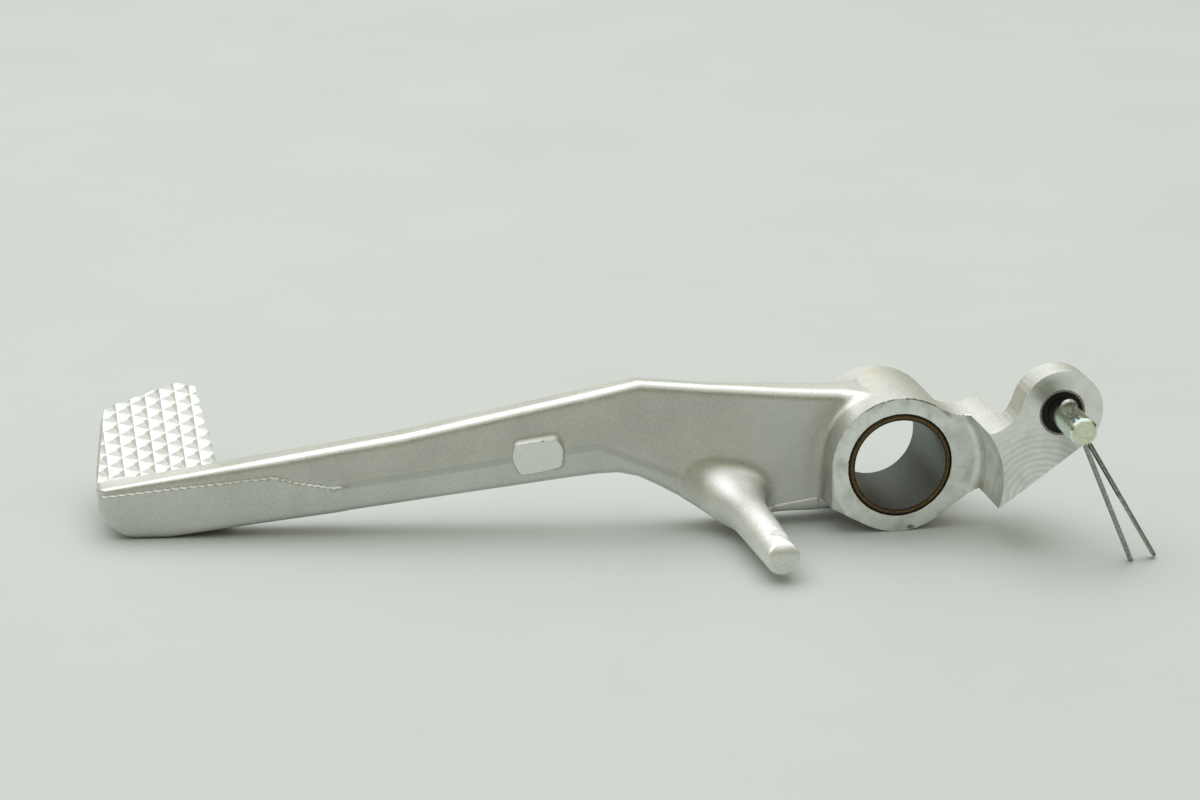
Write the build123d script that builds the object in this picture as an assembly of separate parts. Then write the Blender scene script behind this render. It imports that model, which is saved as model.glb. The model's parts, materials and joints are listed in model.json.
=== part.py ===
from build123d import *
import os
from math import acos, asin, atan2, cos, hypot, radians, sin, sqrt, tan

# Rear brake pedal of a motorcycle. Millimetres, origin in the middle of the pivot bore.
# +Y runs along the bore to the outboard side, +X points from the toe to the push-rod ear, +Z is up.

# Pivot hub and its wrapped bush
spindle_diameter = 20.0
pivot_bush_wall = 1.5
pivot_bush_chamfer = 0.4
hub_diameter = 30.0
hub_length = 25.0
heel_slope = 27.4

# Ear for the push rod: place of the eye, its boss, and how far it stands inboard of the hub
eye_x = 30.5
eye_z = 14.8
ear_diameter = 18.0
ear_thickness = 7.0
ear_offset = 15.3
neck_top_radius = 8.5
neck_length = 23.8
spot_face_diameter = 36.6
spot_face_corner = 2.0
fork_room_diameter = 22.8

# Bush, clevis pin and split pin of the push rod
pin_diameter = 6.0
pin_clearance = 0.05
pin_length = 22.0
pin_head_diameter = 10.0
pin_head_height = 2.0
pin_chamfer = 0.5
pin_end_float = 0.8
eye_bush_wall = 1.95
eye_bush_shell = 0.45
eye_bush_recess = 0.3
cross_hole_diameter = 2.0
cross_hole_edge = 3.6
split_wire_diameter = 1.8
split_eye_diameter = 3.8
split_eye_width = 1.6
split_eye_lift = 0.1
split_lean = 28.2
split_spread = 7.0
short_leg_reach = 33.3
long_leg_reach = 35.0

# Forged arm: half width at the parting line, trimmed land there, draft, edge rounding and outboard sweep
arm_half_width = 4.8
arm_land = 1.4
toe_land = 0.3
web_half_width = 4.3
web_reach = 22.0
draft_angle = 4.5
hub_fillet = 2.0
top_edge_radius = 2.2
bottom_edge_radius = 1.8
edge_share = 0.6
sweep_start = 40.0
sweep_angle = 7.5

# Heights along the arm, each at its distance from the pivot towards the toe
toe_reach = 169.6
toe_top = -4.7
toe_parting = -6.3
toe_corner_radius = 9.0
toe_end_radius = 2.5
toe_flat_end = 154.8
step_start = 132.3
step_start_parting = -1.9
step_end = 120.0
step_end_parting = -3.9
middle_reach = 105.0
middle_top = 6.4
crest_reach = 64.0
crest_parting = 4.4
bend_reach = 55.0
bend_top = 17.5
arch_reach = 57.0
arch_bottom = -0.95
arch_softness = 2.6
arch_start = 72.0
arch_steps = 8
closest_stations = 0.6
arch_foot_reach = 38.0
peg_reach = 34.0
peg_parting = -7.5
hub_join_top = 13.8
hub_join_parting = -9.7
hub_join_bottom = -12.3

# Raised pad on the arm's side
badge_reach = 76.5
badge_height = 2.9
badge_length = 11.4
badge_width = 7.6
badge_taper = 1.0
badge_corner = 1.4
badge_slope = 9.0
badge_proud = 1.2
badge_edge_radius = 0.8

# Return-spring peg: its root, shank and tip, its lean, and the notch for the spring's hook
peg_length = 36.2
peg_sink = 0.7
peg_root_radius = 10.0
peg_root_fillet = 2.2
peg_crown_radius = 6.8
peg_crown_height = 5.6
peg_shank_radius = 4.2
peg_dome_height = 12.4
peg_tip_radius = 3.6
peg_tip_round = 3.0
peg_end_chamfer = 0.4
peg_drop = 1.0
peg_droop = 1.9
peg_toe_out = 3.1
notch_from_tip = 6.5
notch_radius = 2.6
notch_depth = 1.0
notch_bearing = 70.0

# Toe pad: a plate on the arm's outboard side, tilted two ways, with rows of pyramids
pad_dip = 14.5
pad_rise = 24.4
pad_thickness = 4.5
pad_set_back = 2.7
pad_sink = 0.6
pad_left_depth = 25.7
pad_peak_width = 15.6
pad_peak_depth = 38.9
pad_tip_width = 19.8
pad_root_width = 30.0
pad_root_depth = 3.0
pad_corner_radius = 1.2
pad_fillet = 2.5
knurl_pitch = 3.55
knurl_height = 1.25
knurl_flat = 0.2
knurl_turn = 3.0
knurl_shift = 1.2
spare_ridges = 4

hub_radius = hub_diameter / 2
hub_front = -hub_length / 2
hub_rear = hub_length / 2
floor_height = -hub_radius
ear_radius = ear_diameter / 2
ear_front = hub_front - ear_offset
ear_rear = ear_front + ear_thickness
hub_bore_radius = spindle_diameter / 2 + pivot_bush_wall
eye_bush_radius = pin_diameter / 2 + pin_clearance
eye_bore_radius = eye_bush_radius + eye_bush_wall
pin_shoulder = ear_rear + pin_end_float
pin_end = pin_shoulder - pin_length


def slab(profile, front, rear):
    """A profile drawn in X and Z, extruded from y = front to y = rear."""
    return extrude(Plane.XZ.offset(-rear) * profile, rear - front, dir=(0, -1, 0))


def rod(radius, x, z, front, rear):
    """A cylinder along Y."""
    return slab(Pos(x, z) * Circle(radius), front, rear)


def along(line, x):
    """The height at x of a line of points that runs from toe to pivot."""
    for (x0, z0), (x1, z1) in zip(line, line[1:]):
        if x <= x1:
            return z0 + (z1 - z0) * (x - x0) / (x1 - x0)
    return line[-1][1]


def soft_lower(a, b, softness):
    """The lower of two heights, with a rounded change from one to the other."""
    return (a + b - sqrt((a - b) ** 2 + softness ** 2)) / 2


top_line = [(-toe_reach, toe_top), (-middle_reach, middle_top), (-bend_reach, bend_top), (0, hub_join_top)]
parting_line = [
    (-toe_reach, toe_parting),
    (-step_start, step_start_parting),
    (-step_end, step_end_parting),
    (-crest_reach, crest_parting),
    (-peg_reach, peg_parting),
    (0, hub_join_parting),
]
land_line = [(-toe_reach, toe_land), (-step_start, toe_land), (-step_end, arm_land), (0, arm_land)]


def bottom_height(x):
    """The arm's lower edge: flat under the toe, rising, then arching down to the peg and hub."""
    if x >= -arch_foot_reach:
        return hub_join_bottom
    climb = (arch_bottom - floor_height) / (toe_flat_end - arch_reach)
    fall = (arch_bottom - hub_join_bottom) / (arch_reach - arch_foot_reach)
    rising = arch_bottom + climb * (x + arch_reach)
    falling = arch_bottom - fall * (x + arch_reach)
    return max(floor_height, soft_lower(rising, falling, arch_softness))


def sweep_offset(x):
    """How far the arm's middle plane stands outboard of the hub's."""
    return max(0, -x - sweep_start) * tan(radians(sweep_angle))


def arm_section(x):
    """Drafted cross-section: widest at the land on the parting line, rounded at its long edges."""
    top = along(top_line, x)
    parting = along(parting_line, x)
    bottom = bottom_height(x)
    land_top = parting + along(land_line, x) / 2
    land_bottom = parting - along(land_line, x) / 2
    arm_share = min(1, max(0, (-x - web_reach) / (sweep_start - web_reach)))
    half = web_half_width + arm_share * (arm_half_width - web_half_width)
    draft = tan(radians(draft_angle))
    top_half = half - arm_share * draft * (top - land_top)
    bottom_half = half - draft * (land_bottom - bottom)
    outline = Polygon(
        (-top_half, top),
        (-half, land_top),
        (-half, land_bottom),
        (-bottom_half, bottom),
        (bottom_half, bottom),
        (half, land_bottom),
        (half, land_top),
        (top_half, top),
        align=None,
    )
    lower_round = min(bottom_edge_radius, edge_share * (land_bottom - bottom))
    upper_round = min(top_edge_radius, edge_share * (top - land_top))
    outline = fillet(outline.vertices().sort_by(Axis.Y)[:2], lower_round)
    outline = fillet(outline.vertices().sort_by(Axis.Y)[-2:], upper_round)
    station = Plane(origin=(x, sweep_offset(x), 0), x_dir=(0, 1, 0), z_dir=(1, 0, 0))
    return station * outline


def arm_stations():
    """Places along the arm where a section is drawn: its corners, and close steps round the arch."""
    corners = [toe_reach, toe_flat_end, step_start, step_end, middle_reach, crest_reach, bend_reach]
    corners += [sweep_start, peg_reach, web_reach, 0]
    step = (arch_start - arch_foot_reach) / arch_steps
    arch = [arch_start - step * i for i in range(arch_steps + 1)]
    reaches = sorted(corners + arch, reverse=True)
    kept = [reaches[0]]
    for reach in reaches[1:]:
        if kept[-1] - reach > closest_stations:
            kept.append(reach)
    return [-reach for reach in kept]


def make_arm():
    """The swept, drafted arm from toe to hub, with its toe rounded off below."""
    arm = loft([arm_section(x) for x in arm_stations()], ruled=True)
    centre = (toe_corner_radius - toe_reach, floor_height + toe_corner_radius)
    corner = Pos(*centre) * Rectangle(toe_corner_radius, toe_corner_radius, align=(Align.MAX, Align.MAX))
    corner -= Pos(*centre) * Circle(toe_corner_radius)
    toe_y = sweep_offset(-toe_reach)
    arm -= slab(corner, toe_y - 2 * arm_half_width, toe_y + 2 * arm_half_width)
    inner_end = -toe_reach + 2 * toe_end_radius
    end = Polygon(
        (-toe_reach, toe_y - arm_half_width),
        (inner_end, sweep_offset(inner_end) - arm_half_width),
        (inner_end, toe_y),
        (-toe_reach, toe_y),
        align=None,
    )
    front_corner = end.vertices().sort_by(Axis.Y)[0:2].sort_by(Axis.X)[0]
    end -= fillet(front_corner, toe_end_radius)
    return arm - extrude(Pos(0, 0, floor_height) * end, -floor_height, dir=(0, 0, 1))


def make_badge():
    """Flat raised pad astride the parting line on the arm's inboard side, drafted both ways from it."""
    side = badge_length / 2
    end = side - badge_taper
    rise = badge_width / 2
    lower = [(-side, 0), (-end, -rise), (end, -rise)]
    upper = [(side, 0), (end, rise), (-end, rise)]
    outline = Polygon(*lower, *upper, align=None)
    corners = outline.vertices().sort_by(Axis.Y)
    outline = fillet(corners[:2] + corners[-2:], badge_corner)
    outline = Pos(-badge_reach, badge_height) * Rot(0, 0, badge_slope) * outline
    middle = sweep_offset(-badge_reach)
    front = middle - arm_half_width - badge_proud
    badge = slab(outline, front, middle)
    return fillet(badge.faces().sort_by(Axis.Y)[0].edges(), badge_edge_radius)


def make_hub():
    """Pivot boss with the squared heel at its lower corner."""
    slope = radians(heel_slope)
    touch = (-hub_radius * sin(slope), -hub_radius * cos(slope))
    heel_height = -hub_radius * tan(radians(45) - slope / 2)
    heel = Polygon((0, 0), (-hub_radius, 0), (-hub_radius, heel_height), touch, align=None)
    return slab(Circle(hub_radius) + heel, hub_front, hub_rear)


def make_hub_fillet():
    """Hollow rounding between the hub and both sides of the web, below the arm's top edge."""
    half = web_half_width + hub_fillet
    crotch = Rectangle(hub_fillet, 2 * half, align=(Align.MAX, Align.CENTER))
    crotch -= Pos(-hub_fillet, half) * Circle(hub_fillet)
    crotch -= Pos(-hub_fillet, -half) * Circle(hub_fillet)
    crotch = Pos(-hub_radius, 0) * crotch
    rounding = revolve(crotch, Axis.Y) + extrude(crotch, hub_join_parting, dir=(0, 0, 1))
    start = -hub_radius - hub_fillet
    web = Polygon(
        (start, along(top_line, start)),
        (start, along(parting_line, start)),
        (0, hub_join_parting),
        (0, hub_join_top),
        align=None,
    )
    return rounding & slab(web, -half, half)


def make_neck():
    """Ear, and the neck that carries it inboard of the hub, tangent to both bosses."""
    span = hypot(eye_x, eye_z)
    bearing = atan2(eye_z, eye_x)
    under = bearing + asin((hub_radius - ear_radius) / span)
    hub_touch = (hub_radius * sin(under), -hub_radius * cos(under))
    ear_touch = (eye_x + ear_radius * sin(under), eye_z - ear_radius * cos(under))
    hub_side = hub_radius + neck_top_radius
    ear_side = ear_radius + neck_top_radius
    opening = acos((hub_side ** 2 + span ** 2 - ear_side ** 2) / (2 * hub_side * span))
    hollow = (hub_side * cos(bearing + opening), hub_side * sin(bearing + opening))
    profile = Polygon((0, 0), hub_touch, ear_touch, (eye_x, eye_z), hollow, align=None)
    profile -= Pos(*hollow) * Circle(neck_top_radius)
    profile += Circle(hub_radius)
    profile += Pos(eye_x, eye_z) * Circle(ear_radius)
    neck = slab(profile, ear_front, ear_front + neck_length)
    spot_face = rod(spot_face_diameter / 2, 0, 0, ear_front - ear_thickness, hub_front)
    spot_face = fillet(spot_face.edges().sort_by(Axis.Y)[-1], spot_face_corner)
    fork_room = rod(fork_room_diameter / 2, eye_x, eye_z, ear_rear, hub_rear)
    return neck - spot_face - fork_room


def make_peg():
    """Return-spring peg: a domed root, a tapered shank with a rounded lip, and a notch for the hook."""
    lean = Vector(tan(radians(peg_toe_out)), -1, -tan(radians(peg_droop)))
    place = (-peg_reach, peg_sink - web_half_width, peg_parting - peg_drop)
    root = Plane(origin=place, x_dir=(1, 0, 0), z_dir=lean)
    shoulder = peg_root_radius - peg_root_fillet
    taper = (peg_shank_radius - peg_tip_radius) / (peg_length - peg_dome_height)
    outline = Polyline(
        (0, peg_length),
        (0, -web_half_width),
        (peg_root_radius, -web_half_width),
        (peg_root_radius, 0),
    )
    outline += RadiusArc((peg_root_radius, 0), (shoulder, peg_root_fillet), peg_root_fillet)
    outline += Spline(
        (shoulder, peg_root_fillet),
        (peg_crown_radius, peg_crown_height),
        (peg_shank_radius, peg_dome_height),
        tangents=((0, 1), (-taper, 1)),
    )
    outline += Polyline((peg_shank_radius, peg_dome_height), (peg_tip_radius, peg_length), (0, peg_length))
    peg = revolve(Plane.XZ * make_face(outline), Axis.Z)
    peg = chamfer(peg.edges().sort_by(Axis.Z)[-1], peg_end_chamfer)
    lip = Rectangle(2 * peg_tip_round, 2 * peg_tip_round, align=Align.MIN) - Circle(peg_tip_round)
    lip_height = peg_tip_radius + taper * peg_tip_round - peg_tip_round
    lip = Plane.YZ * Pos(lip_height, peg_length - peg_tip_round) * lip
    peg -= extrude(lip, peg_root_radius, both=True)
    notch_middle = peg_tip_radius + taper * notch_from_tip + notch_radius - notch_depth
    notch = Pos(notch_middle, 0, peg_length - notch_from_tip) * Rot(90, 0, 0)
    notch = notch * Cylinder(notch_radius, 2 * peg_root_radius)
    peg -= Rot(0, 0, notch_bearing) * notch
    underside = peg_parting - peg_drop - hub_join_bottom
    span = 3 * peg_length
    peg -= Pos(0, -underside, 0) * Box(span, span, span, align=(Align.CENTER, Align.MAX, Align.CENTER))
    under = Polygon(
        (-arch_reach, arch_bottom),
        (-arch_reach, floor_height - peg_root_radius),
        (0, floor_height - peg_root_radius),
        (0, hub_join_bottom),
        (-arch_foot_reach, hub_join_bottom),
        align=None,
    )
    return root * peg - slab(under, -web_half_width - peg_dome_height, peg_root_radius)


def make_ridges(count, length):
    """A plate with straight V ridges along its Y, their valleys at height 0."""
    points = [(0, -pad_thickness)]
    for i in range(count):
        valley = i * knurl_pitch
        points.append((valley, 0))
        points.append((valley + (knurl_pitch - knurl_flat) / 2, knurl_height))
        points.append((valley + (knurl_pitch + knurl_flat) / 2, knurl_height))
    points.append((count * knurl_pitch, 0))
    points.append((count * knurl_pitch, -pad_thickness))
    profile = Polygon(*points, align=None)
    return extrude(Plane.XZ * profile, length, dir=(0, 1, 0))


def pad_plane():
    """The plane of the valleys between the toe pad's pyramids, tilted down to the hub and up outboard."""
    dip = radians(pad_dip)
    rise = radians(pad_rise)
    return Plane(
        origin=(-toe_reach, sweep_offset(-toe_reach) + pad_set_back, toe_top - pad_sink),
        x_dir=(cos(dip), 0, -sin(dip)),
        z_dir=(sin(dip) * cos(rise), -sin(rise), cos(dip) * cos(rise)),
    )


def pad_block(height):
    """The toe pad's outline as a plate, from its underside to a height above the valleys."""
    outline = Polygon(
        (0, -pad_root_depth),
        (0, pad_left_depth),
        (pad_peak_width, pad_peak_depth),
        (pad_tip_width, pad_peak_depth),
        (pad_root_width, -pad_root_depth),
        align=None,
    )
    far_corners = outline.vertices().sort_by(Axis.Y)[2:]
    outline = fillet(far_corners, pad_corner_radius)
    return extrude(Pos(0, 0, -pad_thickness) * outline, pad_thickness + height, dir=(0, 0, 1))


def make_pad_fillet():
    """Hollow rounding between the toe pad and the arm's outboard side, below the arm's top edge."""
    valley = pad_plane()
    sweep = radians(sweep_angle)
    draft = radians(draft_angle)
    side = Vector(sin(sweep) * cos(draft), cos(sweep) * cos(draft), sin(draft))
    side_point = Vector(-toe_reach, sweep_offset(-toe_reach) + arm_half_width, toe_parting)
    crotch = side.cross(valley.z_dir).normalized()
    across = crotch.cross(valley.z_dir)
    reach = side.dot(side_point - valley.origin) / side.dot(across)
    away = across * (1 if side.dot(across) > 0 else -1)
    seat = Plane(origin=valley.origin + across * reach, x_dir=away, z_dir=crotch)
    rise = crotch.cross(side)
    opening = radians(away.get_angle(rise))
    tangent = pad_fillet / tan(opening / 2)
    profile = Polygon(
        (0, 0),
        (tangent, 0),
        (tangent, pad_fillet),
        (tangent * cos(opening), tangent * sin(opening)),
        align=None,
    )
    profile -= Pos(tangent, pad_fillet) * Circle(pad_fillet)
    rounding = extrude(seat * profile, 2 * pad_root_width, both=True)
    arm_side = [(-toe_reach, floor_height), *top_line, (0, floor_height)]
    rounding &= slab(Polygon(*arm_side, align=None), 0, toe_reach)
    return rounding & valley * pad_block(pad_root_width)


def make_pad():
    """Toe pad: two crossing sets of ridges meet as pyramids, trimmed to the pad's outline and the floor."""
    columns = int(pad_root_width / knurl_pitch) + spare_ridges
    rows = int((pad_peak_depth + pad_root_depth) / knurl_pitch) + spare_ridges
    reach = spare_ridges / 2 * knurl_pitch
    across = make_ridges(columns, rows * knurl_pitch)
    down = make_ridges(rows, columns * knurl_pitch)
    down = Pos(columns * knurl_pitch, 0, 0) * Rot(0, 0, 90) * down
    knurl = across & down
    knurl = Rot(0, 0, knurl_turn) * Pos(knurl_shift - reach, -reach, 0) * knurl
    pad = pad_plane() * (pad_block(knurl_height) & knurl) + make_pad_fillet()
    room = Pos(-toe_reach, 0, floor_height) * Box(toe_reach, toe_reach, toe_reach, align=Align.MIN)
    return pad & room


def make_lever():
    """The whole forging, then its bores."""
    lever = make_arm() + make_hub() + make_hub_fillet() + make_neck()
    lever += make_peg() + make_badge() + make_pad()
    lever -= rod(hub_bore_radius, 0, 0, hub_front, hub_rear)
    lever -= rod(eye_bore_radius, eye_x, eye_z, ear_front, ear_rear)
    return lever


def make_pivot_bush():
    """Wrapped bush as long as the hub, its outer edges broken to press in."""
    bush = rod(hub_bore_radius, 0, 0, hub_front, hub_rear)
    bush = chamfer(bush.edges().filter_by(GeomType.CIRCLE), pivot_bush_chamfer)
    return bush - rod(spindle_diameter / 2, 0, 0, hub_front, hub_rear)


def make_eye_bush():
    """Thin metal shell with its lining set in a little at both ends."""
    bush = rod(eye_bore_radius, eye_x, eye_z, ear_front, ear_rear)
    bush -= rod(eye_bush_radius, eye_x, eye_z, ear_front, ear_rear)
    lining = eye_bore_radius - eye_bush_shell
    bush -= rod(lining, eye_x, eye_z, ear_front, ear_front + eye_bush_recess)
    bush -= rod(lining, eye_x, eye_z, ear_rear - eye_bush_recess, ear_rear)
    return bush


def split_frame():
    """Plane through the cross-hole: its Y points up the split pin to the eye, its Z along the clevis pin."""
    lean = radians(split_lean)
    origin = (eye_x, pin_end + cross_hole_edge, eye_z)
    return Plane(origin=origin, x_dir=(cos(lean), 0, sin(lean)), z_dir=(0, -1, 0))


def make_clevis_pin():
    """Headed pin through the eye, with the cross-hole near its free end."""
    shank = rod(pin_diameter / 2, eye_x, eye_z, pin_end, pin_shoulder)
    shank = chamfer(shank.edges().sort_by(Axis.Y)[0], pin_chamfer)
    head = rod(pin_head_diameter / 2, eye_x, eye_z, pin_shoulder, pin_shoulder + pin_head_height)
    head = chamfer(head.edges().sort_by(Axis.Y)[-1], pin_chamfer)
    hole = split_frame() * Rot(90, 0, 0) * Cylinder(cross_hole_diameter / 2, 2 * pin_diameter)
    return shank + head - hole


def make_split_pin():
    """Half-round wire doubled on itself: an eye, a shank in the cross-hole and two straight legs apart."""
    wire = split_wire_diameter / 2
    ring = split_eye_diameter / 2
    mouth = pin_diameter / 2
    eye_height = mouth + ring + split_eye_lift
    half_round = Circle(wire) & Rectangle(wire, 2 * wire, align=(Align.MIN, Align.CENTER))
    eye_hole = ring - wire
    flat_ring = Rectangle(wire, split_eye_width, align=(Align.MIN, Align.CENTER))
    flat_ring = chamfer(flat_ring.vertices().sort_by(Axis.X)[-2:], wire / 2)
    eye = revolve(Plane.XZ * Pos(eye_hole, 0) * flat_ring, Axis.Z)
    shank_length = mouth + eye_height - eye_hole - wire / 2
    shank = Pos(0, -mouth, 0) * Rot(-90, 0, 0) * Cylinder(
        wire, shank_length, align=(Align.CENTER, Align.CENTER, Align.MIN)
    )
    pin = Pos(0, eye_height, 0) * eye + shank
    for side, reach in ((-1, short_leg_reach), (1, long_leg_reach)):
        leg = extrude(Plane.XZ * half_round, reach - mouth + wire, dir=(0, -1, 0))
        leg = Rot(0, 90 - 90 * side, 0) * leg
        pin += Pos(0, wire - mouth, 0) * Rot(0, 0, side * split_spread / 2) * leg
    return split_frame() * pin


pieces = {
    "pedal_lever": make_lever(),
    "pivot_bush": make_pivot_bush(),
    "eye_bush": make_eye_bush(),
    "clevis_pin": make_clevis_pin(),
    "split_pin": make_split_pin(),
}
os.makedirs("parts", exist_ok=True)
for name, piece in pieces.items():
    export_step(piece, f"parts/{name}.step")
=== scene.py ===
import json
import math

import bmesh
import bpy
import numpy as np
from mathutils import Matrix, Vector
from mathutils.bvhtree import BVHTree
from mathutils.kdtree import KDTree


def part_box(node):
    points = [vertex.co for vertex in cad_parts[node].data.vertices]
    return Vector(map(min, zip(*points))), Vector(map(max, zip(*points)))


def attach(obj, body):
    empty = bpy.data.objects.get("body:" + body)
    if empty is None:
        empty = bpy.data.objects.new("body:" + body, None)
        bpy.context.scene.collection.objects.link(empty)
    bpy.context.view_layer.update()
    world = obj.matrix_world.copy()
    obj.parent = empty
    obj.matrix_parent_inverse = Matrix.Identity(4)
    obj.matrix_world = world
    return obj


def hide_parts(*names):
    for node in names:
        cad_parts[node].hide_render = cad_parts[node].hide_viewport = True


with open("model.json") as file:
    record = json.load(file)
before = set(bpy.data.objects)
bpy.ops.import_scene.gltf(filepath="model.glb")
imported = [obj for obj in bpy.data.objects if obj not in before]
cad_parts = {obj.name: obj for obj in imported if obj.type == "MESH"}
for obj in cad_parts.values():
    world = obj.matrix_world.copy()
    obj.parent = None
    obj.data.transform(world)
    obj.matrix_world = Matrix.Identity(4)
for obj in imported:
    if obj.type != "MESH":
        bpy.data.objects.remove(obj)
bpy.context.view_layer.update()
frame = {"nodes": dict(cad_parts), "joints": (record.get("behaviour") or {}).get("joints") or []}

# Pedal lever: one aluminium forging from the toe to the push-rod ear, drafted to a parting line.
# It is trimmed, blasted to a fine silver grain, then milled bright on the hub, the spot face and the ear.
# The forging's edges are soft, the milled edges and the toe pad's pyramids are crisp.
mm = 0.001
merge_reach = 0.001 * mm
smooth_factor = 0.5
weight_digits = 2


def joined_copy(node):
    """A bmesh of a CAD node with its loose triangles joined."""
    copy = bmesh.new()
    copy.from_mesh(frame["nodes"][node].data)
    bmesh.ops.remove_doubles(copy, verts=copy.verts, dist=merge_reach)
    return copy


def new_piece(name, data):
    """An object for a mesh, curve, light or camera, linked to the scene."""
    piece = bpy.data.objects.new(name, data)
    bpy.context.scene.collection.objects.link(piece)
    return piece


def finished_mesh(piece):
    """The mesh of a piece with its modifiers applied."""
    bpy.context.view_layer.update()
    graph = bpy.context.evaluated_depsgraph_get()
    return bpy.data.meshes.new_from_object(piece.evaluated_get(graph))


def apply_modifiers(piece):
    """Makes what the modifiers show the piece's own mesh."""
    piece.data = finished_mesh(piece)
    piece.modifiers.clear()


def places(mesh):
    """The places of a mesh's vertices, one row each."""
    flat = np.empty(3 * len(mesh.vertices), np.float32)
    mesh.vertices.foreach_get("co", flat)
    return flat.reshape(-1, 3).astype(float)


def set_places(mesh, spots):
    """Moves a mesh's vertices to the given places."""
    mesh.vertices.foreach_set("co", spots.astype(np.float32).ravel())
    mesh.update()


def fade(value, start, end):
    """0 before start, 1 after end, and a smooth change between them."""
    share = np.clip((value - start) / (end - start), 0, 1)
    return share * share * (3 - 2 * share)


def soften(piece, weights, rounds):
    """Smooths a piece's mesh, each vertex by its own weight."""
    group = piece.vertex_groups.new(name="soft")
    steps = weights.round(weight_digits)
    for step in np.unique(steps[steps > 0]):
        group.add(np.flatnonzero(steps == step).tolist(), float(step), "REPLACE")
    smooth = piece.modifiers.new("smooth", "SMOOTH")
    smooth.factor = smooth_factor
    smooth.iterations = rounds
    smooth.vertex_group = "soft"
    apply_modifiers(piece)
    piece.vertex_groups.clear()


def cut_away(mesh, faces, place, normal):
    """Cuts the faces off beyond a plane, in the way of its normal, and closes the cut."""
    parts = dict.fromkeys(faces)
    parts.update(dict.fromkeys(e for f in faces for e in f.edges))
    parts.update(dict.fromkeys(v for f in faces for v in f.verts))
    bmesh.ops.bisect_plane(mesh, geom=list(parts), plane_co=place, plane_no=normal, clear_outer=True)
    bmesh.ops.holes_fill(mesh, edges=[e for e in mesh.edges if e.is_boundary])


def add_copy(mesh, other):
    """Adds one bmesh to another."""
    carrier = bpy.data.meshes.new("carrier")
    other.to_mesh(carrier)
    mesh.from_mesh(carrier)
    bpy.data.meshes.remove(carrier)
    other.free()


web_x = np.array((-50.0, -46.0, -34.0, -22.0)) * mm
web_y = np.array((-3.45, -3.85, -4.28, -4.30)) * mm
web_draft = 0.055
web_reach = 12.0 * mm
web_front = -4.85 * mm
peg_root = Vector((-34.0, -3.6, -8.5)) * mm
peg_lean = Vector((math.tan(math.radians(3.1)), -1.0, -math.tan(math.radians(1.9)))).normalized()
peg_box = (-47.0 * mm, -21.0 * mm)
peg_underside = 3.8 * mm
shank_start = 13.0 * mm
shank_radius = 4.2 * mm
root_radius = 7.8 * mm
root_start = -1.0 * mm
root_end = 14.0 * mm
root_stretch = 0.20
root_bearing = math.radians(172)
root_squareness = 0.7
root_fillet = 1.6 * mm
root_flare = 3.0
root_rings = 60
root_crowding = 2
root_steps = 60
arch_foot = Vector((-38.0, 0.0, -12.3)) * mm
arch_top = Vector((-57.0, 0.0, -0.95)) * mm
voxel = 0.22 * mm


def web_at(place):
    """How far forward the web's face lies at a place beside the peg."""
    return float(np.interp(place.x, web_x, web_y)) + web_draft * place.z


def make_peg_shank(whole):
    """The peg's shank and tip, cut from a copy of the whole forging."""
    shank = whole.copy()
    start = peg_root + peg_lean * shank_start
    kept = [f for f in shank.faces if any((v.co - start).dot(peg_lean) > 0 for v in f.verts)]
    kept = {f for f in kept if peg_box[0] < f.calc_center_median().x < peg_box[1]}
    bmesh.ops.delete(shank, geom=[f for f in shank.faces if f not in kept], context="FACES")
    cut_away(shank, shank.faces[:], start, -peg_lean)
    return shank


def make_peg_root():
    """The peg's root: rings that narrow from a fillet on the web to the shank, longer towards the toe."""
    across = (Vector((1, 0, 0)) - peg_lean * peg_lean.x).normalized()
    upward = peg_lean.cross(across)
    longways = across * math.cos(root_bearing) + upward * math.sin(root_bearing)
    sideways = peg_lean.cross(longways)
    root = bmesh.new()
    loops = []
    for i in range(root_rings + 1):
        height = root_start + (root_end - root_start) * (i / root_rings) ** root_crowding
        share = min(1, max(0, height / shank_start))
        short = shank_radius + (root_radius - shank_radius) * (1 - share) ** root_flare
        long = short + root_stretch * root_radius * (1 - share) ** 2
        middle = peg_root + peg_lean * height + longways * (long - short)
        power = 2 / (2 + root_squareness * (1 - share))
        loop = []
        for j in range(root_steps):
            turn = 2 * math.pi * j / root_steps
            along = math.copysign(abs(math.cos(turn)) ** power, math.cos(turn))
            aside = math.copysign(abs(math.sin(turn)) ** power, math.sin(turn))
            reach = longways * long * along + sideways * short * aside
            point = middle + reach
            left = root_fillet - min(root_fillet, max(0, web_at(point) - point.y))
            fillet = root_fillet - math.sqrt(root_fillet ** 2 - left ** 2)
            loop.append(root.verts.new(point + reach.normalized() * fillet))
        loops.append(loop)
    for low, high in zip(loops, loops[1:]):
        for j in range(root_steps):
            root.faces.new((low[j - 1], low[j], high[j], high[j - 1]))
    root.faces.new(loops[0])
    root.faces.new(loops[-1])
    slope = (arch_foot - arch_top).cross(Vector((0, 1, 0)))
    cut_away(root, root.faces[:], arch_foot, slope * -math.copysign(1, slope.z))
    cut_away(root, root.faces[:], peg_root - upward * peg_underside, -upward)
    bmesh.ops.recalc_face_normals(root, faces=root.faces)
    return root


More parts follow.
